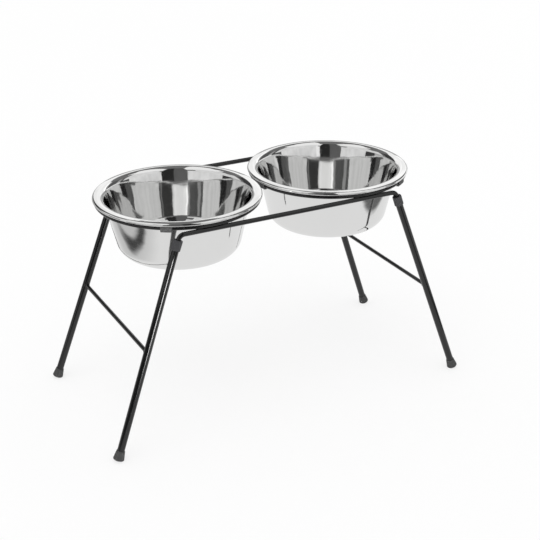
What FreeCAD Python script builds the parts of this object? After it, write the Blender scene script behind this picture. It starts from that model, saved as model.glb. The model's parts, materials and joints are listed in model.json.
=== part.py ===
import FreeCAD, Part
import math
import os

from FreeCAD import Vector

# Elevated pet feeder: two rolled-rim steel bowls hang in wire rings on a black stand.
# The rails turn down at their ends into the collars of two leg frames, which pull off.
# Millimetres and degrees, +X along the rails, +Z up, origin on the floor under the middle.

# Bowls
rim_diameter = 250.0
rim_width = 8.0
bowl_depth = 92.5
bowl_taper = 12.65
throat_flare = 2.85
throat_radius = 300.0
bowl_sheet = 0.7
lip_radius = 9.0
flange_slope = 8.0
rim_round = 3.2
rim_roll_diameter = 2.6
rim_roll_turn = 210.0
base_corner_radius = 25.0
rim_gap = 4.7

# Wire rings under the rims
ring_wire_diameter = 5.0
rim_overhang = 4.5
rim_seat_clearance = 0.3

# Split rubber clips on the rings that the rims rest on, with the angle of each around its ring
clip_length = 16.0
clip_wall = 1.8
clip_drop = 3.0
clip_slit = 0.8
clip_angles = {
    "left": {"front": -121.0, "inner": -1.0, "rear": 119.0},
    "right": {"front": -54.5, "inner": -174.5, "rear": 61.0},
}

# Rails, with their ends bent down as pegs
rail_diameter = 7.0
rail_height = 321.4
rail_inset = 1.5
rail_reach = 49.4
bend_radius = 10.0
peg_depth = 26.0
peg_chamfer = 1.0
weld_gap = 0.4
weld_step = 0.1

# Leg frames
leg_lean = 19.9
leg_splay = 3.4
leg_wall = 1.1
brace_diameter = 6.0
brace_height = 157.0
brace_weld = 1.3

# Plastic collars on the leg tops
collar_length = 15.0
collar_guide = 5.0
collar_wall = 0.85
collar_round = 1.0
collar_seat = 0.3

# Rubber feet
foot_length = 14.5
foot_lip = 0.75
foot_flare = 3.0
foot_floor = 3.5
foot_round = 2.0
foot_contact_depth = 0.8

# Fits
peg_clearance = 0.3
slip_fit = 0.05

SIDES = {"left": -1, "right": 1}
ENDS = {"front": -1, "rear": 1}
UP = Vector(0, 0, 1)

rim_radius = rim_diameter / 2
roll_radius = rim_roll_diameter / 2
throat_foot = 180 - bowl_taper
throat_top = throat_foot - throat_flare
ring_wire_radius = ring_wire_diameter / 2
clip_radius = ring_wire_radius + slip_fit + clip_wall
rail_radius = rail_diameter / 2
brace_radius = brace_diameter / 2

# Places worked out from the driving sizes
bowl_x = (rim_diameter + rim_gap) / 2
ring_radius = rim_radius - rim_overhang
ring_height = rail_height + rail_radius + weld_gap + ring_wire_radius
rail_y = ring_radius - rail_inset
corner_x = bowl_x + rail_reach

# A rail end turns from level to the leg's lean
bend_turn = 90.0 - leg_lean
bend_tangent = bend_radius * math.tan(math.radians(bend_turn / 2))
collar_top = bend_tangent + collar_seat
tube_top = collar_top + collar_guide
peg_end = collar_top + peg_depth
peg_middle = (tube_top + peg_end) / 2


def peg_direction(side):
    """Way that a peg points down and outwards, which is also the way its leg frame pulls off."""
    lean = math.radians(leg_lean)
    return Vector(SIDES[side] * math.sin(lean), 0, -math.cos(lean))


def leg_direction(side, end):
    """Way that a leg runs down from its collar, leaning along X and splayed along Y."""
    lean = math.tan(math.radians(leg_lean))
    splay = math.tan(math.radians(leg_splay))
    return Vector(SIDES[side] * lean, ENDS[end] * splay, -1).normalize()


# The tube's bore leaves room for the straight peg in the splayed tube
leg_skew = peg_direction("right").getAngle(leg_direction("right", "rear"))
peg_drift = (peg_end - peg_middle) * math.tan(leg_skew)
leg_bore_radius = rail_radius + peg_clearance + peg_drift
leg_radius = leg_bore_radius + leg_wall
collar_radius = leg_radius + collar_wall + peg_drift
foot_radius = leg_radius + foot_flare


def rail_corner(side, end):
    """Point where the axis of a rail would meet the axis of its peg without the bend."""
    return Vector(SIDES[side] * corner_x, ENDS[end] * rail_y, rail_height)


def on_peg(side, end, distance):
    """Point on a peg's axis, measured from the rail's corner."""
    return rail_corner(side, end) + peg_direction(side) * distance


def on_leg(side, end, distance):
    """Point on a leg's axis, measured down from where it crosses its peg's axis."""
    return on_peg(side, end, peg_middle) + leg_direction(side, end) * distance


def leg_at_height(side, end, height):
    """Point on a leg's axis at a height above the floor."""
    start = on_leg(side, end, 0)
    return start + leg_direction(side, end) * ((height - start.z) / leg_direction(side, end).z)


def rod(start, end, radius):
    """Round bar from one point to another."""
    along = end - start
    return Part.makeCylinder(radius, along.Length, start, along)


def turned(profile, base, axis):
    """Solid turned from (radius, height) corners, standing on base along axis."""
    points = [Vector(radius, 0, height) for radius, height in profile]
    face = Part.Face(Part.makePolygon(points + points[:1]))
    solid = face.revolve(Vector(0, 0, 0), UP, 360)
    solid.Placement = FreeCAD.Placement(base, FreeCAD.Rotation(UP, axis))
    return solid


def circle_edge(shape, center, radius):
    """Edge of shape that is the full circle with this middle and radius."""
    def distance(edge):
        return (edge.Curve.Center - center).Length + abs(edge.Curve.Radius - radius)

    circles = [edge for edge in shape.Edges if isinstance(edge.Curve, Part.Circle)]
    return min(circles, key=distance)


def around(center, radius, angle):
    """Point on a circle in the XZ plane, with the angle counted from +X towards +Z."""
    turn = math.radians(angle)
    return center + Vector(radius * math.cos(turn), 0, radius * math.sin(turn))


def arc(center, radius, start, end):
    """Arc in the XZ plane from one angle to another."""
    angles = (start, (start + end) / 2, end)
    return Part.Arc(*[around(center, radius, angle) for angle in angles]).toShape()


def line(start, end):
    """Straight edge between two points."""
    return Part.makeLine(start, end)


def rim_centers():
    """Middles of the lip, the rim's round and its roll, on a bowl whose axis is Z."""
    slope = math.radians(flange_slope)
    roll_x = rim_radius - roll_radius
    reach = roll_radius + clip_radius + rim_seat_clearance
    roll_z = ring_height + math.sqrt(reach ** 2 - (roll_x - ring_radius) ** 2)
    shoulder_x = rim_radius - rim_round
    shoulder_middle = rim_round - bowl_sheet / 2
    lip_x = rim_radius - rim_width
    flange_run = shoulder_x - lip_x + (shoulder_middle - lip_radius) * math.sin(slope)
    flange_rise = flange_run * math.tan(slope)
    lip_z = roll_z + (shoulder_middle - lip_radius) * math.cos(slope) + flange_rise
    return Vector(lip_x, 0, lip_z), Vector(shoulder_x, 0, roll_z), Vector(roll_x, 0, roll_z)


def wall_centers(lip):
    """Middles of the base corner and of the throat, which opens the wall out below the lip."""
    throat = around(lip, lip_radius - throat_radius, throat_top)
    wall_top = around(throat, throat_radius, throat_foot)
    corner_middle = base_corner_radius - bowl_sheet / 2
    corner_z = lip.z + lip_radius + bowl_sheet - bowl_depth + corner_middle
    level = around(wall_top, corner_middle, throat_foot)
    inset = (level.z - corner_z) * math.tan(math.radians(bowl_taper))
    return Vector(level.x - inset, 0, corner_z), throat


def throat_edge(throat, bend):
    """Gentle curve from the wall to the lip."""
    low = around(throat, bend, throat_foot)
    high = around(throat, bend, throat_top)
    elbow_reach = bend / math.cos(math.radians(throat_flare / 2))
    elbow = around(throat, elbow_reach, (throat_foot + throat_top) / 2)
    curve = Part.BezierCurve()
    curve.setPoles([low, elbow, high])
    return curve.toShape()


def bowl_side(offset):
    """Edges of one face of the sheet, from the middle of the base to the end of the rim roll."""
    lip, shoulder, roll = rim_centers()
    corner, throat = wall_centers(lip)
    corner_bend = base_corner_radius - bowl_sheet / 2 + offset
    throat_bend = throat_radius - offset
    lip_bend = lip_radius - offset
    shoulder_bend = rim_round - bowl_sheet / 2 - offset
    roll_bend = roll_radius - bowl_sheet / 2 - offset
    base_edge = around(corner, corner_bend, -90)
    flange_angle = 90 - flange_slope
    return [
        line(Vector(0, 0, base_edge.z), base_edge),
        arc(corner, corner_bend, -90, -bowl_taper),
        line(around(corner, corner_bend, -bowl_taper), around(throat, throat_bend, throat_foot)),
        throat_edge(throat, throat_bend),
        arc(lip, lip_bend, throat_top, flange_angle),
        line(around(lip, lip_bend, flange_angle), around(shoulder, shoulder_bend, flange_angle)),
        arc(shoulder, shoulder_bend, flange_angle, 0),
        arc(roll, roll_bend, 0, -rim_roll_turn),
    ]


def make_bowl(side):
    """Pressed bowl with a curled rim, turned from the section of its sheet."""
    outside = bowl_side(bowl_sheet / 2)
    inside = bowl_side(-bowl_sheet / 2)
    axis_end = line(outside[0].firstVertex().Point, inside[0].firstVertex().Point)
    rim_end = line(outside[-1].lastVertex(True).Point, inside[-1].lastVertex(True).Point)
    section = Part.Wire(Part.sortEdges(outside + inside + [axis_end, rim_end])[0])
    bowl = Part.Face(section).revolve(Vector(0, 0, 0), UP, 360)
    bowl.translate(Vector(SIDES[side] * bowl_x, 0, 0))
    return bowl


def ring_center(side):
    """Middle of a ring."""
    return Vector(SIDES[side] * bowl_x, 0, ring_height)


def make_ring(side):
    """Closed wire ring that carries a bowl's rim."""
    return Part.makeTorus(ring_radius, ring_wire_radius, ring_center(side), UP)


def make_clip(side, place):
    """Clip around the ring, curved along it, which snaps on through a slit in its underside."""
    middle = Vector(ring_radius, 0, 0)
    low = middle + Vector(0, 0, clip_wall - clip_drop)
    floor = low.z - clip_radius
    outline = [
        arc(middle, clip_radius, 0, 180),
        line(around(middle, clip_radius, 180), around(low, clip_radius, 180)),
        arc(low, clip_radius, 180, 360),
        line(around(low, clip_radius, 0), around(middle, clip_radius, 0)),
    ]
    sweep = math.degrees(clip_length / ring_radius)
    block = Part.Face(Part.Wire(outline)).revolve(Vector(0, 0, 0), UP, sweep)
    slit = Part.makeCylinder(ring_radius + clip_slit / 2, -floor, Vector(0, 0, floor))
    slit = slit.cut(Part.makeCylinder(ring_radius - clip_slit / 2, -floor, Vector(0, 0, floor)))
    clip = block.cut(Part.makeTorus(ring_radius, ring_wire_radius + slip_fit)).cut(slit)
    clip.rotate(Vector(0, 0, 0), UP, clip_angles[side][place] - sweep / 2)
    clip.translate(ring_center(side))
    return clip.Solids[0]


def make_rail(end):
    """Round rail with both ends bent down as pegs."""
    points = []
    for side in ("left", "right"):
        corner = rail_corner(side, end)
        inward = Vector(-SIDES[side], 0, 0)
        tip = on_peg(side, end, peg_end)
        bend_low = on_peg(side, end, bend_tangent)
        bend_high = corner + inward * bend_tangent
        half_way = (bend_low + bend_high) * 0.5
        bend_center = corner + (half_way - corner).normalize() * math.hypot(bend_radius, bend_tangent)
        bend_middle = bend_center + (corner - bend_center).normalize() * bend_radius
        points.append((tip, bend_low, bend_middle, bend_high))
    left, right = points
    path = Part.Wire([
        line(left[0], left[1]),
        Part.Arc(*left[1:]).toShape(),
        line(left[3], right[3]),
        Part.Arc(*right[:0:-1]).toShape(),
        line(right[1], right[0]),
    ])
    section = Part.Wire(Part.makeCircle(rail_radius, left[0], peg_direction("left")))
    rail = path.makePipeShell([section], True, False)
    tips = [circle_edge(rail, tip, rail_radius) for tip in (left[0], right[0])]
    return rail.makeChamfer(peg_chamfer, tips)


def make_ring_welds(side, ring, rails):
    """Weld metal in the narrow gap wherever a ring crosses the rails."""
    cross_angle = math.acos(rail_y / ring_radius)
    cross_x = ring_radius * math.sin(cross_angle)
    pads = []
    for end in ENDS:
        for way in (-1, 1):
            foot = Vector(SIDES[side] * bowl_x + way * cross_x, ENDS[end] * rail_y, rail_height)
            pad = Part.makeCylinder(ring_wire_radius - weld_step, ring_height - rail_height, foot)
            pads.append(pad.cut(ring).cut(rails[end]).Solids[0])
    return Part.makeCompound(pads)


def leg_end_distance():
    """Distance down a leg's axis to the middle of its foot's sole, which dips into the floor plane."""
    tilt = UP.getAngle(leg_direction("right", "rear") * -1)
    reach = (foot_radius - foot_round) * math.sin(tilt) + foot_round * (1 - math.cos(tilt))
    sole = leg_at_height("right", "rear", reach - foot_contact_depth)
    return (sole - on_leg("right", "rear", 0)).Length


def make_leg(side, end):
    """Straight leg tube from its collar down into its foot."""
    top = on_leg(side, end, tube_top - peg_middle)
    bottom = on_leg(side, end, leg_end_distance() - foot_floor)
    return rod(top, bottom, leg_radius).cut(rod(top, bottom, leg_bore_radius))


def make_collar(side, end):
    """Plastic collar: a guide hole for the peg above a skewed socket for the leg tube."""
    top = on_peg(side, end, collar_top)
    bottom = on_peg(side, end, collar_top + collar_length)
    block = rod(bottom, top, collar_radius)
    block = block.makeFillet(collar_round, [circle_edge(block, top, collar_radius)])
    socket_top = on_leg(side, end, tube_top - peg_middle)
    socket = rod(socket_top, on_leg(side, end, collar_length), leg_radius + slip_fit)
    guide = rod(rail_corner(side, end), bottom, rail_radius + peg_clearance)
    return block.cut(socket).cut(guide).Solids[0]


def make_foot(side, end):
    """Tapered rubber cap on the leg's lower end, worn flat where it meets the floor."""
    sole = on_leg(side, end, leg_end_distance())
    bore = leg_radius + slip_fit
    profile = [
        (0, 0),
        (foot_radius, 0),
        (leg_radius + foot_lip, foot_length),
        (bore, foot_length),
        (bore, foot_floor),
        (0, foot_floor),
    ]
    foot = turned(profile, sole, leg_direction(side, end) * -1)
    foot = foot.makeFillet(foot_round, [circle_edge(foot, sole, foot_radius)])
    below = Part.makeBox(2 * foot_length, 2 * foot_length, foot_length)
    below.translate(Vector(sole.x - foot_length, sole.y - foot_length, -foot_length))
    return foot.cut(below).Solids[0]


def make_brace(side):
    """Cross bar between the two legs of one side, with its ends shaped to the tubes."""
    front = leg_at_height(side, "front", brace_height)
    rear = leg_at_height(side, "rear", brace_height)
    bar = rod(front, rear, brace_radius)
    for end in ENDS:
        bar = bar.cut(rod(on_leg(side, end, 0), leg_at_height(side, end, 0), leg_radius))
    return bar.Solids[0]


def make_brace_welds(side):
    """Fillet welds around both ends of a brace."""
    welds = []
    for end in ENDS:
        joint = leg_at_height(side, end, brace_height)
        profile = [
            (brace_radius, 0),
            (brace_radius + brace_weld, 0),
            (brace_radius + brace_weld, leg_radius),
            (brace_radius, leg_radius + brace_weld),
        ]
        bead = turned(profile, joint, Vector(0, -ENDS[end], 0))
        tube = rod(on_leg(side, end, 0), leg_at_height(side, end, 0), leg_radius)
        welds.append(bead.cut(tube).Solids[0])
    return Part.makeCompound(welds)


def make_parts():
    """Every piece of the feeder, by name."""
    rails = {end: make_rail(end) for end in ENDS}
    parts = {f"rail_{end}": rails[end] for end in ENDS}
    for side in SIDES:
        ring = make_ring(side)
        parts[f"bowl_{side}"] = make_bowl(side)
        parts[f"ring_{side}"] = ring
        parts[f"ring_welds_{side}"] = make_ring_welds(side, ring, rails)
        for place in clip_angles[side]:
            parts[f"clip_{side}_{place}"] = make_clip(side, place)
        for end in ENDS:
            parts[f"leg_{side}_{end}"] = make_leg(side, end)
            parts[f"collar_{side}_{end}"] = make_collar(side, end)
            parts[f"foot_{side}_{end}"] = make_foot(side, end)
        parts[f"brace_{side}"] = make_brace(side)
        parts[f"brace_welds_{side}"] = make_brace_welds(side)
    return parts


os.makedirs("parts", exist_ok=True)
for name, shape in make_parts().items():
    shape.exportStep(f"parts/{name}.step")
    print(name, "solids", len(shape.Solids), "volume", round(shape.Volume, 1), "valid", shape.isValid())
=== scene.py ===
import json
import math
from collections import namedtuple

import bmesh
import bpy
from bpy.props import FloatProperty, FloatVectorProperty, PointerProperty
from mathutils import Matrix, Quaternion, Vector


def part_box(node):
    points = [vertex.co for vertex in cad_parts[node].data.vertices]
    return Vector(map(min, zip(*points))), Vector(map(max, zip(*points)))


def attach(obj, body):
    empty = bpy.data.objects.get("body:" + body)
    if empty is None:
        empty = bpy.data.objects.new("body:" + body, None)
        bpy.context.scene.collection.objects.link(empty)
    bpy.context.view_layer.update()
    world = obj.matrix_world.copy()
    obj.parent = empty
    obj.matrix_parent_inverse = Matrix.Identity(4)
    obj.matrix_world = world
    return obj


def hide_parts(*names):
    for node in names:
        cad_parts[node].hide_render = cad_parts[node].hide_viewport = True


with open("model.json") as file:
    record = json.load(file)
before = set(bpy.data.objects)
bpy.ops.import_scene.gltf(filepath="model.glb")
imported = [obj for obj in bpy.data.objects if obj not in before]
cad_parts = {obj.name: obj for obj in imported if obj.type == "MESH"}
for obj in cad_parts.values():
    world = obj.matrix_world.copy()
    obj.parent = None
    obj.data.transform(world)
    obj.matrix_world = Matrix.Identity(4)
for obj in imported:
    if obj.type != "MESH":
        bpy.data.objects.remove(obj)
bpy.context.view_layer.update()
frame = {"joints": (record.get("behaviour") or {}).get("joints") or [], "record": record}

bl_info = {
    "name": "Elevated pet feeder",
    "version": (1, 0, 0),
    "blender": (4, 5, 0),
    "location": "3D View > Sidebar > Feeder",
    "description": "Builds the polished bowls and the black wire stand of a raised pet feeder",
    "category": "Add Mesh",
}

SIDES = {"left": -1, "right": 1}
ENDS = {"front": -1, "rear": 1}
CLIP_PLACES = ("front", "inner", "rear")

# Points closer than this are one point
MERGE_DISTANCE = 1e-6
# Edges that turn more than this stay crisp
CRISP_ANGLE = math.radians(38)
# A ring weld's bead along the rail, across it and upright, in shares of the ring's wire
RING_WELD_SHAPE = (2.4, 0.8, 0.42)

# Moulded finishes, with the grains to the metre and their depth in metres; they lie idle while the
# frame has plain materials of the same names, because those are found first
Moulding = namedtuple("Moulding", "roughness grain depth")
MOULDINGS = {
    "clip_rubber": Moulding(0.42, 1400, 0.00002),
    "collar_plastic": Moulding(0.36, 1800, 0.000015),
    "foot_rubber": Moulding(0.58, 1100, 0.00004),
}

# Body of each node, and the way each leg frame pulls off
BODY_OF = {
    node: body
    for body, nodes in frame["record"]["behaviour"]["bodies"].items()
    for node in nodes
}
PULL_AXIS = {
    joint["name"].split("_")[0]: Vector(joint["axis"])
    for joint in frame["joints"]
    if joint["name"].endswith("legs_pull")
}


def node_middle(node):
    """Middle of a CAD node's box."""
    low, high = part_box(node)
    return (low + high) / 2


def node_size(node):
    """Size of a CAD node's box."""
    low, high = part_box(node)
    return high - low


def ring_radius(side, wire):
    """Radius of a ring at the middle of its wire."""
    return node_size(f"ring_{side}").x / 2 - wire / 2


def length(name, description, default):
    """Property for a length in metres."""
    return FloatProperty(
        name=name, description=description, default=default, min=0, precision=5, unit="LENGTH"
    )


def angle(name, description, degrees):
    """Property for an angle, given in degrees."""
    return FloatProperty(
        name=name, description=description, default=math.radians(degrees), subtype="ANGLE"
    )


def amount(name, description, default):
    """Property for a plain number."""
    return FloatProperty(name=name, description=description, default=default, min=0)


def colour(name, description, default):
    """Property for a colour."""
    return FloatVectorProperty(
        name=name, description=description, default=default, min=0, max=1, subtype="COLOR"
    )


class FeederBowlSizes(bpy.types.PropertyGroup):
    """Sizes of the pressed bowls and of the rings that carry them."""

    spread: length(
        "Bowl spread", "Middle of the stand to a bowl's axis", node_middle("bowl_right").x
    )
    rim: length("Rim diameter", "Across the rolled rim of a bowl", node_size("bowl_left").x)
    crest: length("Crest height", "Floor to the top of the lip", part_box("bowl_left")[1].z)
    base: length("Base height", "Floor to the underside of a bowl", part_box("bowl_left")[0].z)
    rim_width: length("Rim width", "Outside of the rim to the middle of the lip bend", 0.008)
    sheet: length("Sheet thickness", "Thickness of the pressed steel", 0.0007)
    taper: angle("Wall taper", "Lean of the wall from upright", 12.65)
    flare: angle("Throat flare", "How much further the wall leans where it meets the lip", 2.85)
    throat: length("Throat radius", "Gentle bend between the wall and the lip", 0.3)
    base_corner: length("Base corner", "Outer radius between the wall and the base", 0.025)
    lip: length("Lip radius", "Bend between the wall and the flange", 0.009)
    flange_slope: angle("Flange slope", "Fall of the flange towards the rim", 8)
    shoulder: length("Rim round", "Outer radius between the flange and the rim's edge", 0.0032)
    roll: length("Roll diameter", "Across the curl at the rim's edge", 0.0026)
    roll_turn: angle("Roll turn", "How far the sheet curls at the rim", 210)
    ring_wire: length("Ring wire", "Diameter of the wire of a ring", node_size("ring_left").z)
    ring_height: length("Ring height", "Floor to the middle of a ring", node_middle("ring_left").z)


class FeederStandSizes(bpy.types.PropertyGroup):
    """Sizes of the rails, legs, collars, feet, braces and clips."""

    rail: length("Rail diameter", "Diameter of a rail", node_size("rail_front").y)
    rail_spread: length("Rail spread", "Middle of the stand to a rail", node_middle("rail_rear").y)
    rail_top: length("Rail height", "Floor to the top of a rail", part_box("rail_front")[1].z)
    rail_reach: length("Rail reach", "Bowl axis to the corner of a rail", 0.0494)
    bend: length("Bend radius", "Radius of a rail's bent ends at mid wire", 0.010)
    peg_depth: length("Peg depth", "Length of a peg below the collar's top", 0.026)
    peg_chamfer: length("Peg chamfer", "Bevel on the tip of a peg", 0.001)
    leg: length("Leg diameter", "Outside diameter of a leg tube", 0.0109732)
    leg_wall: length("Leg wall", "Wall of a leg tube", 0.0011)
    leg_splay: angle("Leg splay", "Spread of the legs from front to rear", 3.4)
    collar: length("Collar diameter", "Outside diameter of a collar", 0.0138464)
    collar_length: length("Collar length", "Length of a collar", 0.015)
    collar_guide: length("Collar guide", "Depth of the guide hole above the tube", 0.005)
    collar_round: length("Collar round", "Rounding of a collar's upper edge", 0.001)
    collar_seat: length("Collar seat", "Room between the rail's bend and the collar", 0.0003)
    peg_room: length("Peg room", "Room around a peg in its collar", 0.0003)
    slip: length("Slip fit", "Room around a pushed-on piece", 0.00005)
    foot_length: length("Foot length", "Length of a rubber foot", 0.0145)
    foot_flare: length("Foot flare", "How far the sole stands out from the tube", 0.003)
    foot_lip: length("Foot lip", "Thickness of the rubber at a foot's top", 0.00075)
    foot_floor: length("Foot floor", "Rubber under the end of the tube", 0.0035)
    foot_round: length("Foot round", "Rounding around the sole", 0.002)
    foot_wear: length("Foot wear", "Depth of the worn flat on the sole", 0.0008)
    brace_weld: length("Brace weld", "Size of the weld around a brace's end", 0.0013)
    clip_length: length("Clip length", "Length of a clip along the ring", 0.016)
    clip_wall: length("Clip wall", "Thickness of a clip around the wire", 0.0018)
    clip_drop: length("Clip drop", "Thickness of a clip under the ring", 0.003)
    clip_slit: length("Clip slit", "Width of the slit that lets a clip snap on", 0.0008)


class FeederFinishes(bpy.types.PropertyGroup):
    """Colours of the feeder's finishes."""

    steel: colour("Polished steel", "Colour of the reflections in the bowls", (0.79, 0.79, 0.785))
    paint: colour("Black coating", "Colour of the coated frame", (0.006, 0.006, 0.0062))
    collar: colour("Collar plastic", "Collars with no frame material", (0.022, 0.022, 0.023))
    rubber: colour("Foot rubber", "Feet with no frame material", (0.040, 0.040, 0.040))
    clip: colour("Clip rubber", "Clips with no frame material", (0.15, 0.15, 0.152))


class FeederStage(bpy.types.PropertyGroup):
    """Camera, floor and light around the feeder."""

    heading: angle("Camera heading", "Way the camera looks, from +Y towards +X", 27.745)
    pitch: angle("Camera pitch", "How far the camera looks down", 24.586)
    roll: angle("Camera roll", "Turn of the camera about its own line of sight", -0.143)
    distance: length("Camera distance", "Camera to the point that it looks at", 1.827394)
    target: FloatVectorProperty(
        name="Camera target",
        description="Point that the camera looks at",
        default=(0.025807, 0.0, 0.177055),
        subtype="TRANSLATION",
    )
    lens: amount("Camera lens", "Focal length in millimetres", 76.95)
    floor_width: length("Floor width", "Side of the square floor", 14.0)
    floor: colour("Floor colour", "Colour of the floor", (0.94, 0.94, 0.94))
    floor_lift: amount("Floor lift", "Share of the floor that shows as plain white", 0.7)
    ambient: amount("Ambient light", "Level of the light from all sides", 0.88)
    key: amount("Key light", "Level of the soft light from above", 0.55)


def verts_in(geometry):
    """Vertices among what an operator made."""
    return [item for item in geometry if isinstance(item, bmesh.types.BMVert)]


def edges_in(geometry):
    """Edges among what an operator made."""
    return [item for item in geometry if isinstance(item, bmesh.types.BMEdge)]


def verts_of(loop):
    """Vertices of a loop of edges."""
    return list({vert for edge in loop for vert in edge.verts})


def everything(bm):
    """All vertices, edges and faces of a bmesh."""
    return bm.verts[:] + bm.edges[:] + bm.faces[:]


def draw_line(bm, tip, end, runs=1):
    """Draws a straight stretch of an outline from the vertex tip and returns its last vertex."""
    start = tip.co.copy()
    for run in range(1, runs + 1):
        tip = bmesh.ops.extrude_vert_indiv(bm, verts=[tip])["verts"][0]
        tip.co = start.lerp(end, run / runs)
    return tip


def draw_arc(bm, tip, middle, turn, steps):
    """Draws a round stretch in the XZ plane; a positive turn goes from +X towards +Z."""
    made = bmesh.ops.spin(bm, geom=[tip], cent=middle, axis=(0, -1, 0), angle=turn, steps=steps)
    return verts_in(made["geom_last"])[0]


def polar(middle, radius, turn):
    """Point in the XZ plane around middle, with the angle counted from +X towards +Z."""
    return middle + Vector((radius * math.cos(turn), 0, radius * math.sin(turn)))


def section(radius, height):
    """Point of a turned piece's outline."""
    return Vector((radius, 0, height))


def sweep(bm, axis, turn, steps, use_merge=False):
    """Sweeps the outline in bm about an axis through the origin."""
    bmesh.ops.spin(
        bm, geom=everything(bm), cent=(0, 0, 0), axis=axis, angle=turn, steps=steps,
        use_merge=use_merge,
    )


def turn_round(bm, steps):
    """Sweeps the outline in bm once round the Z axis."""
    sweep(bm, (0, 0, 1), math.tau, steps, use_merge=True)


def rotate_about_z(bm, turn):
    """Rotates a whole bmesh about the Z axis."""
    bmesh.ops.rotate(bm, cent=(0, 0, 0), matrix=Matrix.Rotation(turn, 3, "Z"), verts=bm.verts)


def stand_on(bm, base, axis):
    """Moves a piece that was made along Z to base, with its Z along axis."""
    turn = axis.to_track_quat("Z", "Y").to_matrix().to_4x4()
    bmesh.ops.transform(bm, matrix=Matrix.Translation(base) @ turn, verts=bm.verts)


def turned_tube(inside, outside, tall, steps):
    """Tube along Z from the origin, or a bar where its inside is 0."""
    bm = bmesh.new()
    first = bm.verts.new(section(inside, 0))
    tip = draw_line(bm, first, section(outside, 0))
    tip = draw_line(bm, tip, section(outside, tall))
    tip = draw_line(bm, tip, section(inside, tall))
    bm.edges.new((tip, first))
    turn_round(bm, steps)
    return bm


def add_piece(bm, name, node, finish):
    """Closes a bmesh into a piece that stands for a CAD node and moves with its body."""
    bmesh.ops.remove_doubles(bm, verts=bm.verts, dist=MERGE_DISTANCE)
    bmesh.ops.recalc_face_normals(bm, faces=bm.faces)
    for face in bm.faces:
        face.smooth = True
    for edge in bm.edges:
        edge.smooth = edge.calc_face_angle(0) < CRISP_ANGLE
    mesh = bpy.data.meshes.new(name)
    bm.to_mesh(mesh)
    bm.free()
    mesh.materials.append(finish)
    piece = bpy.data.objects.new(name, mesh)
    bpy.context.scene.collection.objects.link(piece)
    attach(piece, BODY_OF[node])
    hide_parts(node)
    return piece


class Finish:
    """A material under construction: its node tree and the shader that it ends in."""

    def __init__(self, name):
        self.material = bpy.data.materials.new(name)
        self.material.use_nodes = True
        self.tree = self.material.node_tree
        self.shader = self.tree.nodes["Principled BSDF"]
        self.place = self.add("ShaderNodeTexCoord").outputs["Object"]

    def add(self, kind, **settings):
        """New node with these settings."""
        node = self.tree.nodes.new(kind)
        for setting, value in settings.items():
            setattr(node, setting, value)
        return node

    def link(self, source, target):
        """Joins an output to an input."""
        self.tree.links.new(source, target)

    def moved(self, location, scale=(1, 1, 1)):
        """Object coordinates shifted and scaled by a Mapping node."""
        mapping = self.add("ShaderNodeMapping")
        mapping.inputs["Location"].default_value = location
        mapping.inputs["Scale"].default_value = scale
        self.link(self.place, mapping.inputs["Vector"])
        return mapping.outputs["Vector"]

    def noise(self, vector, scale, detail=2.0, distortion=0.0):
        """Noise between nothing and one, with this many features to the metre."""
        noise = self.add("ShaderNodeTexNoise")
        noise.inputs["Scale"].default_value = scale
        noise.inputs["Detail"].default_value = detail
        noise.inputs["Distortion"].default_value = distortion
        self.link(vector, noise.inputs["Vector"])
        return noise.outputs["Fac"]

    def ranged(self, value, low, high, start=0.3, end=0.7):
        """Value spread from low to high."""
        ranged = self.add("ShaderNodeMapRange")
        limits = {"From Min": start, "From Max": end, "To Min": low, "To Max": high}
        for socket, number in limits.items():
            ranged.inputs[socket].default_value = number
        self.link(value, ranged.inputs["Value"])
        return ranged.outputs["Result"]

    def mottled(self, share, tone, darkest, lightest):
        """Colour between two factors of a tone."""
        mix = self.add("ShaderNodeMix", data_type="RGBA")
        colours = [socket for socket in mix.inputs if socket.type == "RGBA"]
        colours[0].default_value = (*shaded(tone, darkest), 1)
        colours[1].default_value = (*shaded(tone, lightest), 1)
        self.link(share, mix.inputs["Factor"])
        return next(socket for socket in mix.outputs if socket.type == "RGBA")

    def bump(self, height, distance, normal=None):
        """Surface relief of this depth in metres."""
        bump = self.add("ShaderNodeBump")
        bump.inputs["Distance"].default_value = distance
        self.link(height, bump.inputs["Height"])
        if normal is not None:
            self.link(normal, bump.inputs["Normal"])
        return bump.outputs["Normal"]

    def set(self, **values):
        """Plain values on the shader's own sockets."""
        for socket, value in values.items():
            self.shader.inputs[socket.replace("_", " ")].default_value = value

    def drive(self, **sources):
        """Outputs joined to the shader's own sockets."""
        for socket, source in sources.items():
            self.link(source, self.shader.inputs[socket.replace("_", " ")])


def shaded(tone, factor):
    """Colour made lighter or darker."""
    return tuple(min(1.0, channel * factor) for channel in tone)


def make_steel(tone, side, spread):
    """Mirror-polished pressed steel, slightly wavy, with faint level smears."""
    finish = Finish(f"polished_steel_{side}")
    axis = (-SIDES[side] * spread, 0, 0)
    place = finish.moved(axis)
    finish.set(Metallic=1.0)
    cloud = finish.noise(place, scale=14, detail=3)
    finish.drive(Base_Color=finish.mottled(cloud, tone, darkest=0.97, lightest=1.02))
    level_place = finish.moved(axis, scale=(1, 1, 3))
    smear = finish.noise(level_place, scale=55, detail=4, distortion=0.6)
    finish.drive(Roughness=finish.ranged(smear, low=0.035, high=0.075))
    waves = finish.noise(place, scale=26, detail=1)
    dimples = finish.noise(place, scale=75, detail=1)
    relief = finish.bump(waves, distance=0.0003)
    finish.drive(Normal=finish.bump(dimples, distance=0.000035, normal=relief))
    return finish.material


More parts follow.
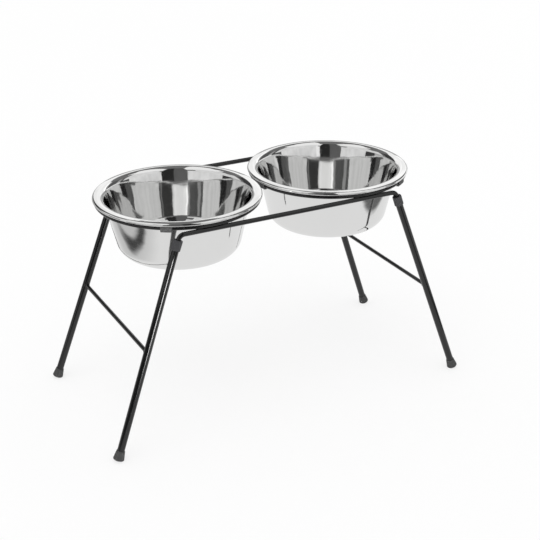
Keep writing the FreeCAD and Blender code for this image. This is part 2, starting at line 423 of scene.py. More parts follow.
def make_paint(tone):
    """Gloss black coating with a fine orange-peel surface."""
    finish = Finish("black_coating")
    finish.set(IOR=1.5)
    cloud = finish.noise(finish.place, scale=40, detail=3)
    finish.drive(Base_Color=finish.mottled(cloud, tone, darkest=0.8, lightest=1.25))
    wear = finish.noise(finish.place, scale=160, detail=4)
    finish.drive(Roughness=finish.ranged(wear, low=0.10, high=0.19))
    peel = finish.noise(finish.place, scale=900)
    finish.drive(Normal=finish.bump(peel, distance=0.00003))
    return finish.material


def make_moulded(name, tone):
    """Mottled plastic or rubber with a fine grain, where the frame has no material of this name."""
    moulding = MOULDINGS[name]
    finish = Finish(name)
    finish.set(IOR=1.48)
    cloud = finish.noise(finish.place, scale=90, detail=3)
    finish.drive(Base_Color=finish.mottled(cloud, tone, darkest=0.8, lightest=1.2))
    scuff = finish.noise(finish.place, scale=260, detail=4, distortion=0.8)
    spread = 0.08
    low, high = moulding.roughness - spread, moulding.roughness + spread
    finish.drive(Roughness=finish.ranged(scuff, low, high))
    grains = finish.noise(finish.place, scale=moulding.grain)
    finish.drive(Normal=finish.bump(grains, moulding.depth))
    return finish.material


def shared_finish(name, make, *values):
    """Material of this name: the frame's plain one where it has one, or else made here once."""
    return bpy.data.materials.get(name) or make(*values)


def paint_finish(context):
    """The stand's black coating."""
    return shared_finish("black_coating", make_paint, context.scene.feeder_finishes.paint)


def moulded_finish(name, tone):
    """Material of the clips, collars or feet: the frame's plain one where it has one."""
    return shared_finish(name, make_moulded, name, tone)


class PegPlace:
    """Where the peg, collar, leg and foot of one corner of the stand lie."""

    def __init__(self, bowls, stand, side, end):
        self.peg = PULL_AXIS[side].normalized()
        lean = math.acos(-self.peg.z)
        tangent = stand.bend * math.tan((math.pi / 2 - lean) / 2)
        self.corner = Vector((
            SIDES[side] * (bowls.spread + stand.rail_reach),
            ENDS[end] * stand.rail_spread,
            stand.rail_top - stand.rail / 2,
        ))
        self.bend_tangent = tangent
        self.collar_top = tangent + stand.collar_seat
        self.tube_top = self.collar_top + stand.collar_guide
        self.peg_end = self.collar_top + stand.peg_depth
        self.crossing = (self.tube_top + self.peg_end) / 2
        splay = ENDS[end] * math.tan(stand.leg_splay)
        self.leg = Vector((SIDES[side] * math.tan(lean), splay, -1)).normalized()
        self.skew = self.peg.angle(self.leg)
        self.sole_radius = stand.leg / 2 + stand.foot_flare
        tilt = math.acos(-self.leg.z)
        low_edge = (self.sole_radius - stand.foot_round) * math.sin(tilt)
        sole_height = low_edge + stand.foot_round * (1 - math.cos(tilt)) - stand.foot_wear
        self.sole = self.at_height(sole_height)

    def on_peg(self, distance):
        """Point on the peg's axis, measured from the rail's corner."""
        return self.corner + self.peg * distance

    def on_leg(self, distance):
        """Point on the leg's axis, measured down from where it crosses the peg's axis."""
        return self.on_peg(self.crossing) + self.leg * distance

    def at_height(self, height):
        """Point on the leg's axis at a height above the floor."""
        start = self.on_leg(0)
        return start + self.leg * ((height - start.z) / self.leg.z)


def corners():
    """Every corner of the stand, as a side and an end."""
    return [(side, end) for side in SIDES for end in ENDS]


class FEEDER_OT_bowls(bpy.types.Operator):
    """Press the two bowls from sheet with curled rims"""

    bl_idname = "feeder.bowls"
    bl_label = "Bowls"

    def execute(self, context):
        sizes = context.scene.feeder_bowls
        tone = context.scene.feeder_finishes.steel
        for side in SIDES:
            bm = self.pressed_sheet(sizes)
            place = Vector((SIDES[side] * sizes.spread, 0, 0))
            bmesh.ops.translate(bm, vec=place, verts=bm.verts)
            steel = make_steel(tone, side, sizes.spread)
            bowl = add_piece(bm, f"steel_bowl_{side}", f"bowl_{side}", steel)
            wall = bowl.modifiers.new("sheet", "SOLIDIFY")
            wall.thickness = sizes.sheet
            wall.offset = 0
            wall.use_even_offset = True
        return {"FINISHED"}

    def pressed_sheet(self, sizes):
        """Middle surface of a bowl's sheet, with the bowl's axis on Z."""
        half_sheet = sizes.sheet / 2
        shoulder_bend = sizes.shoulder - half_sheet
        corner_bend = sizes.base_corner - half_sheet
        flange = math.pi / 2 - sizes.flange_slope
        lip = section(sizes.rim / 2 - sizes.rim_width, sizes.crest - half_sheet - sizes.lip)
        slack = shoulder_bend - sizes.lip
        run = sizes.rim_width - sizes.shoulder + slack * math.sin(sizes.flange_slope)
        fall = run * math.tan(sizes.flange_slope) + slack * math.cos(sizes.flange_slope)
        shoulder = section(sizes.rim / 2 - sizes.shoulder, lip.z - fall)
        roll = section(sizes.rim / 2 - sizes.roll / 2, shoulder.z)
        throat_foot = math.pi - sizes.taper
        throat = polar(lip, sizes.lip - sizes.throat, throat_foot - sizes.flare)
        wall_top = polar(throat, sizes.throat, throat_foot)
        level = polar(wall_top, corner_bend, throat_foot)
        corner_height = sizes.base + sizes.base_corner
        inset = (level.z - corner_height) * math.tan(sizes.taper)
        corner = section(level.x - inset, corner_height)

        bm = bmesh.new()
        tip = bm.verts.new(section(0, sizes.base + half_sheet))
        tip = draw_line(bm, tip, polar(corner, corner_bend, -math.pi / 2), runs=8)
        tip = draw_arc(bm, tip, corner, math.pi / 2 - sizes.taper, steps=24)
        tip = draw_line(bm, tip, wall_top, runs=16)
        tip = draw_arc(bm, tip, throat, -sizes.flare, steps=10)
        tip = draw_arc(bm, tip, lip, flange - throat_foot + sizes.flare, steps=24)
        tip = draw_line(bm, tip, polar(shoulder, shoulder_bend, flange), runs=3)
        tip = draw_arc(bm, tip, shoulder, -flange, steps=18)
        draw_arc(bm, tip, roll, -sizes.roll_turn, steps=18)
        turn_round(bm, steps=180)
        return bm


class FEEDER_OT_rings(bpy.types.Operator):
    """Bend the two closed wire rings that carry the bowls"""

    bl_idname = "feeder.rings"
    bl_label = "Rings"

    def execute(self, context):
        sizes = context.scene.feeder_bowls
        for side in SIDES:
            radius = ring_radius(side, sizes.ring_wire)
            across = Matrix.Translation((radius, 0, 0)) @ Matrix.Rotation(math.pi / 2, 4, "X")
            bm = bmesh.new()
            bmesh.ops.create_circle(bm, segments=20, radius=sizes.ring_wire / 2, matrix=across)
            turn_round(bm, steps=144)
            bmesh.ops.translate(bm, vec=node_middle(f"ring_{side}"), verts=bm.verts)
            add_piece(bm, f"wire_ring_{side}", f"ring_{side}", paint_finish(context))
        return {"FINISHED"}


class FEEDER_OT_clips(bpy.types.Operator):
    """Snap three short rubber clips on each ring, for the rim to rest on"""

    bl_idname = "feeder.clips"
    bl_label = "Ring clips"

    def execute(self, context):
        bowls = context.scene.feeder_bowls
        stand = context.scene.feeder_stand
        rubber = moulded_finish("clip_rubber", context.scene.feeder_finishes.clip)
        for side in SIDES:
            middle = Vector((SIDES[side] * bowls.spread, 0, bowls.ring_height))
            radius = ring_radius(side, bowls.ring_wire)
            for place in CLIP_PLACES:
                node = f"clip_{side}_{place}"
                away = node_middle(node) - middle
                bm = self.jaw(bowls, stand, radius)
                rotate_about_z(bm, math.atan2(away.y, away.x))
                bmesh.ops.translate(bm, vec=middle, verts=bm.verts)
                add_piece(bm, f"rubber_{node}", node, rubber)
        return {"FINISHED"}

    def jaw(self, bowls, stand, radius):
        """Split clip that follows the ring, centred on +X, with the ring's middle at the origin."""
        bore = bowls.ring_wire / 2 + stand.slip
        outside = bore + stand.clip_wall
        wire = section(radius, 0)
        low = section(radius, stand.clip_wall - stand.clip_drop)
        inner_slit = math.asin(stand.clip_slit / 2 / bore)
        outer_slit = math.asin(stand.clip_slit / 2 / outside)
        bm = bmesh.new()
        first = bm.verts.new(polar(wire, bore, inner_slit - math.pi / 2))
        tip = draw_arc(bm, first, wire, math.tau - 2 * inner_slit, steps=30)
        tip = draw_line(bm, tip, polar(low, outside, -math.pi / 2 - outer_slit))
        tip = draw_arc(bm, tip, low, outer_slit - math.pi / 2, steps=8)
        tip = draw_line(bm, tip, polar(wire, outside, math.pi))
        tip = draw_arc(bm, tip, wire, -math.pi, steps=16)
        tip = draw_line(bm, tip, polar(low, outside, 0))
        tip = draw_arc(bm, tip, low, outer_slit - math.pi / 2, steps=8)
        bm.edges.new((tip, first))
        turn = stand.clip_length / radius
        rotate_about_z(bm, -turn / 2)
        sweep(bm, (0, 0, 1), turn, steps=6)
        bmesh.ops.holes_fill(bm, edges=bm.edges)
        bmesh.ops.recalc_face_normals(bm, faces=bm.faces)
        crisp = [edge for edge in bm.edges if edge.calc_face_angle(0) > CRISP_ANGLE]
        bmesh.ops.bevel(
            bm, geom=crisp, affect="EDGES", offset=stand.clip_wall / 8, segments=2, profile=0.5,
            material=-1,
        )
        return bm


class FEEDER_OT_rails(bpy.types.Operator):
    """Bend the two rails, with both ends turned down as pegs"""

    bl_idname = "feeder.rails"
    bl_label = "Rails"

    def execute(self, context):
        for end in ENDS:
            bm = self.bent_rail(context.scene.feeder_bowls, context.scene.feeder_stand, end)
            add_piece(bm, f"bent_rail_{end}", f"rail_{end}", paint_finish(context))
        return {"FINISHED"}

    def bent_rail(self, bowls, stand, end):
        """Half a rail from the middle of the stand to the tip of its peg, mirrored."""
        place = PegPlace(bowls, stand, "right", end)
        lean = math.acos(-place.peg.z)
        bend_start = place.corner - Vector((place.bend_tangent, 0, 0))
        radius = stand.rail / 2
        start = Matrix.Translation((0, place.corner.y, place.corner.z))
        across = start @ Matrix.Rotation(math.pi / 2, 4, "Y")
        bm = bmesh.new()
        bmesh.ops.create_circle(bm, segments=24, radius=radius, matrix=across)
        loop = self.push(bm, bm.edges[:], Vector((bend_start.x, 0, 0)))
        made = bmesh.ops.spin(
            bm,
            geom=loop + verts_of(loop),
            cent=bend_start - Vector((0, 0, stand.bend)),
            axis=(0, 1, 0),
            angle=math.pi / 2 - lean,
            steps=12,
        )
        loop = edges_in(made["geom_last"])
        straight = place.peg_end - place.bend_tangent - stand.peg_chamfer
        loop = self.push(bm, loop, place.peg * straight)
        loop = self.push(bm, loop, place.peg * stand.peg_chamfer)
        shrink = (radius - stand.peg_chamfer) / radius
        about_tip = Matrix.Translation(-place.on_peg(place.peg_end))
        bmesh.ops.scale(bm, vec=(shrink,) * 3, space=about_tip, verts=verts_of(loop))
        bmesh.ops.contextual_create(bm, geom=loop)
        bmesh.ops.mirror(bm, geom=everything(bm), axis="X", merge_dist=MERGE_DISTANCE)
        return bm

    def push(self, bm, loop, along):
        """Extrudes a loop of edges and returns the new loop."""
        made = bmesh.ops.extrude_edge_only(bm, edges=loop)["geom"]
        verts = set(verts_in(made))
        bmesh.ops.translate(bm, vec=along, verts=list(verts))
        return [edge for edge in edges_in(made) if verts.issuperset(edge.verts)]


class FEEDER_OT_ring_welds(bpy.types.Operator):
    """Weld the rings to the rails where they cross"""

    bl_idname = "feeder.ring_welds"
    bl_label = "Ring welds"

    def execute(self, context):
        bowls = context.scene.feeder_bowls
        stand = context.scene.feeder_stand
        for side in SIDES:
            node = f"ring_welds_{side}"
            wire = bowls.ring_wire / 2
            cross = math.sqrt(ring_radius(side, bowls.ring_wire) ** 2 - stand.rail_spread ** 2)
            height = (stand.rail_top + bowls.ring_height - wire) / 2
            bm = bmesh.new()
            for end in ENDS.values():
                for way in (-1, 1):
                    middle = Vector((
                        SIDES[side] * bowls.spread + way * cross, end * stand.rail_spread, height
                    ))
                    lens = Matrix.Translation(middle) @ Matrix.Diagonal((*RING_WELD_SHAPE, 1))
                    bmesh.ops.create_uvsphere(
                        bm, u_segments=20, v_segments=10, radius=wire, matrix=lens
                    )
            add_piece(bm, f"weld_bead_{node}", node, paint_finish(context))
        return {"FINISHED"}


class FEEDER_OT_legs(bpy.types.Operator):
    """Cut the four leg tubes"""

    bl_idname = "feeder.legs"
    bl_label = "Leg tubes"

    def execute(self, context):
        stand = context.scene.feeder_stand
        for side, end in corners():
            place = PegPlace(context.scene.feeder_bowls, stand, side, end)
            top = place.on_leg(place.tube_top - place.crossing)
            bottom = place.sole - place.leg * stand.foot_floor
            outside = stand.leg / 2
            tall = (top - bottom).length
            bm = turned_tube(outside - stand.leg_wall, outside, tall, steps=32)
            stand_on(bm, bottom, -place.leg)
            add_piece(bm, f"tube_leg_{side}_{end}", f"leg_{side}_{end}", paint_finish(context))
        return {"FINISHED"}


class FEEDER_OT_collars(bpy.types.Operator):
    """Mould the four plastic collars that guide the pegs"""

    bl_idname = "feeder.collars"
    bl_label = "Collars"

    def execute(self, context):
        stand = context.scene.feeder_stand
        plastic = moulded_finish("collar_plastic", context.scene.feeder_finishes.collar)
        for side, end in corners():
            place = PegPlace(context.scene.feeder_bowls, stand, side, end)
            bm = self.moulding(stand, place)
            stand_on(bm, place.on_peg(place.collar_top), place.peg)
            add_piece(bm, f"moulded_collar_{side}_{end}", f"collar_{side}_{end}", plastic)
        return {"FINISHED"}

    def moulding(self, stand, place):
        """Collar made along Z from its upper face, with a guide hole above a flared socket."""
        outside = stand.collar / 2
        guide = stand.rail / 2 + stand.peg_room
        mouth = stand.leg / 2 + stand.slip
        flare = (stand.collar_length - stand.collar_guide) * math.tan(place.skew)
        edge = stand.collar_round / 4
        rounding = section(outside - stand.collar_round, stand.collar_round)
        bm = bmesh.new()
        first = bm.verts.new(section(guide, edge))
        tip = draw_line(bm, first, section(guide + edge, 0))
        tip = draw_line(bm, tip, section(rounding.x, 0))
        tip = draw_arc(bm, tip, rounding, math.pi / 2, steps=6)
        tip = draw_line(bm, tip, section(outside, stand.collar_length - edge))
        tip = draw_line(bm, tip, section(outside - edge, stand.collar_length))
        tip = draw_line(bm, tip, section(mouth, stand.collar_length))
        tip = draw_line(bm, tip, section(mouth + flare, stand.collar_guide))
        tip = draw_line(bm, tip, section(guide, stand.collar_guide))
        bm.edges.new((tip, first))
        turn_round(bm, steps=40)
        return bm


class FEEDER_OT_feet(bpy.types.Operator):
    """Mould the four tapered rubber feet, worn flat where they stand"""

    bl_idname = "feeder.feet"
    bl_label = "Feet"

    def execute(self, context):
        stand = context.scene.feeder_stand
        rubber = moulded_finish("foot_rubber", context.scene.feeder_finishes.rubber)
        for side, end in corners():
            place = PegPlace(context.scene.feeder_bowls, stand, side, end)
            bm = self.cap(stand, place)
            stand_on(bm, place.sole, -place.leg)
            cut = bmesh.ops.bisect_plane(
                bm,
                geom=everything(bm),
                plane_co=(0, 0, 0),
                plane_no=(0, 0, -1),
                clear_outer=True,
            )
            bmesh.ops.holes_fill(bm, edges=edges_in(cut["geom_cut"]))
            add_piece(bm, f"rubber_foot_{side}_{end}", f"foot_{side}_{end}", rubber)
        return {"FINISHED"}

    def cap(self, stand, place):
        """Foot made along Z from its sole."""
        bore = stand.leg / 2 + stand.slip
        top = stand.leg / 2 + stand.foot_lip
        taper = math.atan2(place.sole_radius - top, stand.foot_length)
        inset = stand.foot_round * (1 + math.sin(taper)) / math.cos(taper)
        heel = section(place.sole_radius - inset, stand.foot_round)
        edge = stand.foot_lip / 4
        bm = bmesh.new()
        first = bm.verts.new(section(0, 0))
        tip = draw_line(bm, first, section(heel.x, 0), runs=4)
        tip = draw_arc(bm, tip, heel, math.pi / 2 + taper, steps=10)
        tip = draw_line(bm, tip, section(top, stand.foot_length - edge), runs=6)
        tip = draw_line(bm, tip, section(top - edge, stand.foot_length))
        tip = draw_line(bm, tip, section(bore, stand.foot_length))
        tip = draw_line(bm, tip, section(bore, stand.foot_floor))
        draw_line(bm, tip, section(0, stand.foot_floor))
        turn_round(bm, steps=48)
        bmesh.ops.remove_doubles(bm, verts=bm.verts, dist=MERGE_DISTANCE)
        return bm


class FEEDER_OT_braces(bpy.types.Operator):
    """Weld a thin cross bar between the legs of each side"""

    bl_idname = "feeder.braces"
    bl_label = "Braces and their welds"

    def execute(self, context):
        bowls = context.scene.feeder_bowls
        stand = context.scene.feeder_stand
        for side in SIDES:
            node = f"brace_{side}"
            size = node_size(node)
            radius = size.z / 2
            middle = node_middle(node)
            front = Vector((middle.x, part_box(node)[0].y, middle.z))
            bm = turned_tube(0, radius, size.y, steps=24)
            stand_on(bm, front, Vector((0, 1, 0)))
            add_piece(bm, f"bar_{node}", node, paint_finish(context))
            welds = bmesh.new()
            for end in ENDS:
                place = PegPlace(bowls, stand, side, end)
                self.add_bead(welds, stand, radius, place.at_height(middle.z), -ENDS[end])
            add_piece(welds, f"weld_bead_{node}", f"brace_welds_{side}", paint_finish(context))
        return {"FINISHED"}

    def add_bead(self, welds, stand, radius, joint, way):
        """Adds a rounded weld around a brace's end, on the tube whose axis passes through joint."""
        tube = stand.leg / 2
        root = tube - stand.leg_wall
        middle = section(radius, tube - stand.leg_wall / 4)
        bead = bmesh.new()
        first = bead.verts.new(section(radius, root))
        tip = draw_line(bead, first, section(radius + stand.brace_weld, root))
        tip = draw_line(bead, tip, section(radius + stand.brace_weld, middle.z))
        tip = draw_arc(bead, tip, middle, math.pi / 2, steps=6)
        bead.edges.new((tip, first))
        turn_round(bead, steps=28)
        stand_on(bead, joint, Vector((0, way, 0)))
        mesh = bpy.data.meshes.new("bead")
        bead.to_mesh(mesh)
        bead.free()
        welds.from_mesh(mesh)
        bpy.data.meshes.remove(mesh)


# Upright cards around the feeder, with bearings in degrees from +X towards +Y and lengths in
# metres; a brightness of 1 is white
Card = namedtuple("Card", "name first last bottom top distance brightness")
CARDS = (
    Card("tent_left", 128, 234, 0.0, 3.0, 2.3, 0.79),
    Card("tent_right", -98, -18, 0.0, 3.0, 2.3, 0.79),
    Card("gap_rear_left", 87, 130, 0.72, 2.1, 2.2, 0.05),
    Card("gap_low_left", 148, 170, 0.0, 0.72, 2.2, 0.05),
    Card("gap_rear_right", -20, 32, 0.72, 2.1, 2.2, 0.11),
    Card("window", 42, 84, 0.72, 1.95, 2.18, 1.08),
    Card("streak_left", 122, 126, 0.72, 1.9, 2.15, 0.24),
    Card("streak_rear", 85.5, 89, 0.72, 1.9, 2.15, 0.80),
    Card("streak_window", 35.5, 40.5, 0.72, 1.9, 2.15, 1.60),
    Card("streak_right_inner", 27, 34, 0.72, 1.9, 2.15, 0.34),
    Card("streak_right_outer", -12, -2, 0.72, 1.9, 2.15, 0.38),
    Card("gap_low_right", -33, -12, 0.0, 0.72, 2.2, 0.08),
    Card("horizon", 30, 150, 0.0, 0.72, 2.1, 0.42),
    Card("gap_above", -20, 148, 1.95, 3.20, 2.1, 0.18),
    Card("gap_top", 10, 118, 3.15, 4.2, 2.1, 0.12),
    Card("gap_camera", -117, -97, 0.27, 2.4, 0.74, 0.025),
    Card("gap_camera_side", -139, -117, 0.27, 2.4, 0.74, 0.11),
    Card("gap_camera_wide", -152, -93, 0.63, 0.90, 0.745, 0.14),
    Card("gap_low_front", -178, -60, 0.0, 0.27, 0.73, 0.04),
    Card("strip_low", -121, -108, 0.06, 0.26, 0.70, 24.0),
    Card("strip_foot", -121, -108, 0.0, 0.06, 0.70, 9.0),
    Card("strip_screen", -117.5, -98, 0.14, 0.31, 0.45, 0.28),
)
# Straight stretches in a card's curve, folds to the metre in its cloth, and how far they shade it
CARD_STEPS = 24
CARD_FOLDS = 3.0
FOLD_SHADE = 0.3

# Strips bent over the feeder from the rear to the camera, with angles in degrees up from the rear,
# then the bearing of the rear end in degrees and the height of the bend's middle
Arch = namedtuple("Arch", "name half_width first last distance brightness")
ARCHES = (
    Arch("slit_above", 0.38, 50, 112, 2.20, 0.18),
)
ARCH_BEARING = 64
ARCH_HEIGHT = 0.33

# Level grey strips on the table and two hoods over the low strip, with bearings in degrees,
# distances from the feeder's middle and the share of a strip on each side over which it fades out
TableEdge = namedtuple("TableEdge", "name bearing near far half_length height brightness fade")
TABLE_EDGES = (
    TableEdge("table_tone", 0, -4.0, 4.0, 4.0, 0.0002, 0.87, 0.02),
    TableEdge("table_shade_left", 165, 0.340, 1.400, 0.85, 0.0005, 0.60, 0.2),
    TableEdge("table_edge_left", 170.7, 0.492, 0.562, 0.45, 0.0010, 0.06, 0.4),
    TableEdge("table_edge_right", -42, 0.505, 0.800, 0.52, 0.0015, 0.15, 0.1),
    TableEdge("table_edge_rear", 90, 0.700, 2.000, 0.65, 0.0020, 0.38, 0.1),
    TableEdge("strip_hood", -114, 0.300, 0.720, 0.30, 0.285, 0.28, 0.05),
    TableEdge("strip_hood_near", -114, 0.228, 0.335, 0.30, 0.2845, 0.60, 0.05),
)

# Angle over which the key light spreads, and the way it shines
KEY_SPREAD = math.radians(50)
KEY_WAY = Vector((0.35, 0.25, -1))


class FEEDER_OT_stage(bpy.types.Operator):
    """Set up the floor, the light tent and the camera"""

    bl_idname = "feeder.stage"
    bl_label = "Stage"

    def execute(self, context):
        settings = context.scene.feeder_stage
        context.scene.view_settings.view_transform = "Standard"
        self.add_floor(settings)
        self.add_sky(context.scene, settings)
        for card in CARDS:
            self.add_card(card)
        for arch in ARCHES:
            self.add_arch(arch)
        for edge in TABLE_EDGES:
            self.add_edge(edge)
        self.add_lamps(settings)
        self.add_camera(context.scene, settings)
        return {"FINISHED"}

    def add_stage_object(self, bm, name, material):
        """Object of the stage from a bmesh."""
        mesh = bpy.data.meshes.new(name)
        bm.to_mesh(mesh)
        bm.free()
        mesh.materials.append(material)
        thing = bpy.data.objects.new(name, mesh)
        bpy.context.scene.collection.objects.link(thing)
        return thing

    def add_floor(self, settings):
        """Pale floor, white to the camera and to the steel, that keeps the feeder's shadow."""
        material = bpy.data.materials.new("pale_floor")
        material.use_nodes = True
        tree = material.node_tree
        shader = tree.nodes["Principled BSDF"]
        shader.inputs["Base Color"].default_value = (*settings.floor, 1)
        shader.inputs["Roughness"].default_value = 0.9
        shader.inputs["Specular IOR Level"].default_value = 0.1
        white = tree.nodes.new("ShaderNodeEmission")
        share = tree.nodes.new("ShaderNodeMath")
        share.operation = "MULTIPLY"
        share.inputs[1].default_value = settings.floor_lift
        tree.links.new(seen_rays(tree), share.inputs[0])
        end_in_mix(tree, "Material Output", share.outputs[0], shader, white)
        bm = bmesh.new()
        bmesh.ops.create_grid(bm, x_segments=1, y_segments=1, size=settings.floor_width / 2)
        self.add_stage_object(bm, "floor", material)

    def add_sky(self, scene, settings):
        """Even light from all sides, which the camera and the steel see as white."""
        world = bpy.data.worlds.new("light_tent")
        scene.world = world
        world.use_nodes = True
        tree = world.node_tree
        even = tree.nodes["Background"]
        even.inputs["Color"].default_value = (1, 1, 1, 1)
        even.inputs["Strength"].default_value = settings.ambient
        white = tree.nodes.new("ShaderNodeBackground")
        white.inputs["Color"].default_value = (1, 1, 1, 1)
        end_in_mix(tree, "World Output", seen_rays(tree), even, white)

    def add_card(self, card):
        """Curved upright card that only reflections see."""
        bm = bmesh.new()
        start = math.radians(card.first)
        foot = Vector((math.cos(start), math.sin(start), 0)) * card.distance
        low = bm.verts.new(foot + Vector((0, 0, card.bottom)))
        draw_line(bm, low, foot + Vector((0, 0, card.top)))
        sweep(bm, (0, 0, 1), math.radians(card.last - card.first), CARD_STEPS)
        self.add_reflected(bm, card.name, card_material(card.brightness))

    def add_arch(self, arch):
        """Strip bent over the feeder that only reflections see."""
        bm = bmesh.new()
        reach = polar(Vector(), arch.distance, math.radians(arch.first))
        side = Vector((0, arch.half_width, 0))
        draw_line(bm, bm.verts.new(reach - side), reach + side)
        sweep(bm, (0, -1, 0), math.radians(arch.last - arch.first), CARD_STEPS)
        rotate_about_z(bm, math.radians(ARCH_BEARING))
        bmesh.ops.translate(bm, vec=(0, 0, ARCH_HEIGHT), verts=bm.verts)
        self.add_reflected(bm, arch.name, card_material(arch.brightness))

    def add_edge(self, edge):
        """Level grey strip that only reflections see."""
        bm = bmesh.new()
        bm.loops.layers.uv.new()
        bmesh.ops.create_grid(bm, x_segments=1, y_segments=1, size=0.5, calc_uvs=True)
        size = Vector((edge.far - edge.near, 2 * edge.half_length, 1))
        bmesh.ops.scale(bm, vec=size, verts=bm.verts)
        bmesh.ops.translate(bm, vec=((edge.near + edge.far) / 2, 0, edge.height), verts=bm.verts)
        rotate_about_z(bm, math.radians(edge.bearing))
        self.add_reflected(bm, edge.name, shade_material(edge))

    def add_reflected(self, bm, name, material):
        """Object of the stage that is hidden from everything but mirror-like reflections."""
        thing = self.add_stage_object(bm, name, material)
        thing.visible_camera = False
        thing.visible_diffuse = False
        thing.visible_transmission = False
        thing.visible_volume_scatter = False
        thing.visible_shadow = False

    def add_lamps(self, settings):
        """Soft light from above, which the steel doesn't show."""
        key = bpy.data.lights.new("key", "SUN")
        key.energy = settings.key
        key.angle = KEY_SPREAD
        lamp = bpy.data.objects.new("key", key)
        lamp.rotation_euler = KEY_WAY.to_track_quat("-Z", "Y").to_euler()
        lamp.visible_glossy = False
        bpy.context.scene.collection.objects.link(lamp)

    def add_camera(self, scene, settings):
        """Camera at the photograph's view."""
        look = Vector((
            math.sin(settings.heading) * math.cos(settings.pitch),
            math.cos(settings.heading) * math.cos(settings.pitch),
            -math.sin(settings.pitch),
        ))
        camera = bpy.data.cameras.new("camera")
        camera.lens = settings.lens
        holder = bpy.data.objects.new("camera", camera)
        holder.location = Vector(settings.target) - look * settings.distance
        holder.rotation_mode = "QUATERNION"
        roll = Quaternion((0, 0, 1), settings.roll)
        holder.rotation_quaternion = look.to_track_quat("-Z", "Y") @ roll
        scene.collection.objects.link(holder)
        scene.camera = holder


def seen_rays(tree):
    """Socket that is 1 for rays from the camera and for rays that steel reflects."""
    path = tree.nodes.new("ShaderNodeLightPath")
    total = path.outputs["Is Camera Ray"]
    for kind in ("Is Glossy Ray", "Is Transmission Ray"):
        plus = tree.nodes.new("ShaderNodeMath")
        plus.operation = "ADD"
        plus.use_clamp = True
        tree.links.new(total, plus.inputs[0])
        tree.links.new(path.outputs[kind], plus.inputs[1])
        total = plus.outputs[0]
    return total


def end_in_mix(tree, output, share, first, second):
    """Ends a node tree in a mix of two shaders."""
    mix = tree.nodes.new("ShaderNodeMixShader")
    for source, socket in zip((share, first.outputs[0], second.outputs[0]), mix.inputs):
        tree.links.new(source, socket)
    tree.links.new(mix.outputs[0], tree.nodes[output].inputs["Surface"])


def glowing(name):
    """New material that only glows, with its node tree and its glow."""
    material = bpy.data.materials.new(name)
    material.use_nodes = True
    tree = material.node_tree
    tree.nodes.remove(tree.nodes["Principled BSDF"])
    return material, tree, tree.nodes.new("ShaderNodeEmission")


def card_material(brightness):
    """Grey card of the light tent, with soft folds, made on first use."""
    name = f"card_{round(brightness * 100)}"
    if name in bpy.data.materials:
        return bpy.data.materials[name]
    material, tree, glow = glowing(name)
    place = tree.nodes.new("ShaderNodeTexCoord")
    folds = tree.nodes.new("ShaderNodeTexNoise")
    folds.inputs["Scale"].default_value = CARD_FOLDS
    level = tree.nodes.new("ShaderNodeMapRange")
    level.inputs["To Min"].default_value = brightness * (1 - FOLD_SHADE)
    level.inputs["To Max"].default_value = brightness * (1 + FOLD_SHADE)
    tree.links.new(place.outputs["Object"], folds.inputs["Vector"])
    tree.links.new(folds.outputs["Fac"], level.inputs["Value"])
    tree.links.new(level.outputs["Result"], glow.inputs["Strength"])
    tree.links.new(glow.outputs[0], tree.nodes["Material Output"].inputs["Surface"])
    return material


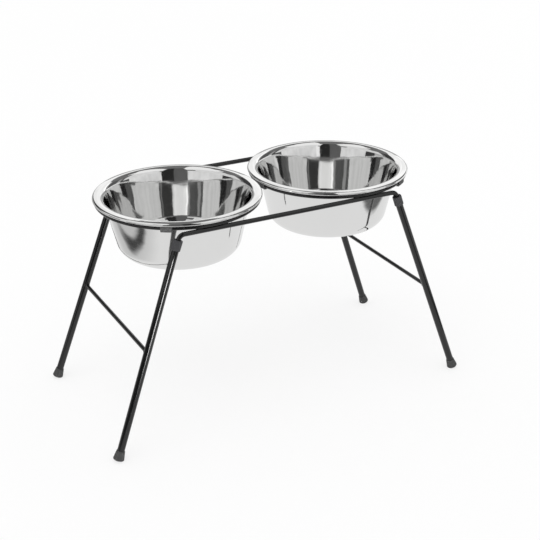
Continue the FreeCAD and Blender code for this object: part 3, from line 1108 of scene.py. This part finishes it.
def shade_material(edge):
    """Grey that fades out towards the sides of a level strip."""
    material, tree, glow = glowing(edge.name)
    glow.inputs["Strength"].default_value = edge.brightness
    clear = tree.nodes.new("ShaderNodeBsdfTransparent")
    place = tree.nodes.new("ShaderNodeTexCoord")
    sides = tree.nodes.new("ShaderNodeSeparateXYZ")
    both = tree.nodes.new("ShaderNodeMath")
    both.operation = "MULTIPLY"
    tree.links.new(place.outputs["UV"], sides.inputs[0])
    # How far in from the nearer side, as a share of the strip, along it and across it
    for index, side in enumerate("XY"):
        inwards = tree.nodes.new("ShaderNodeMath")
        inwards.operation = "PINGPONG"
        inwards.inputs[1].default_value = 0.5
        fade = tree.nodes.new("ShaderNodeMapRange")
        fade.interpolation_type = "SMOOTHSTEP"
        fade.inputs["From Max"].default_value = edge.fade
        tree.links.new(sides.outputs[side], inwards.inputs[0])
        tree.links.new(inwards.outputs[0], fade.inputs["Value"])
        tree.links.new(fade.outputs["Result"], both.inputs[index])
    end_in_mix(tree, "Material Output", both.outputs[0], clear, glow)
    return material


BUILD_ORDER = (
    FEEDER_OT_bowls,
    FEEDER_OT_rings,
    FEEDER_OT_clips,
    FEEDER_OT_rails,
    FEEDER_OT_ring_welds,
    FEEDER_OT_legs,
    FEEDER_OT_collars,
    FEEDER_OT_feet,
    FEEDER_OT_braces,
    FEEDER_OT_stage,
)


class FEEDER_PT_build(bpy.types.Panel):
    """Steps that build the feeder, in order"""

    bl_idname = "FEEDER_PT_build"
    bl_label = "Elevated pet feeder"
    bl_space_type = "VIEW_3D"
    bl_region_type = "UI"
    bl_category = "Feeder"

    def draw(self, context):
        for operator in BUILD_ORDER:
            self.layout.operator(operator.bl_idname)


SETTINGS = {
    "feeder_bowls": FeederBowlSizes,
    "feeder_stand": FeederStandSizes,
    "feeder_finishes": FeederFinishes,
    "feeder_stage": FeederStage,
}


def register():
    for group in SETTINGS.values():
        bpy.utils.register_class(group)
    for name, group in SETTINGS.items():
        setattr(bpy.types.Scene, name, PointerProperty(type=group))
    for cls in (*BUILD_ORDER, FEEDER_PT_build):
        bpy.utils.register_class(cls)


def unregister():
    for cls in (FEEDER_PT_build, *reversed(BUILD_ORDER)):
        bpy.utils.unregister_class(cls)
    for name in SETTINGS:
        delattr(bpy.types.Scene, name)
    for group in SETTINGS.values():
        bpy.utils.unregister_class(group)


def main():
    register()
    bpy.ops.feeder.bowls()
    bpy.ops.feeder.rings()
    bpy.ops.feeder.clips()
    bpy.ops.feeder.rails()
    bpy.ops.feeder.ring_welds()
    bpy.ops.feeder.legs()
    bpy.ops.feeder.collars()
    bpy.ops.feeder.feet()
    bpy.ops.feeder.braces()
    bpy.ops.feeder.stage()


if __name__ == "__main__":
    main()
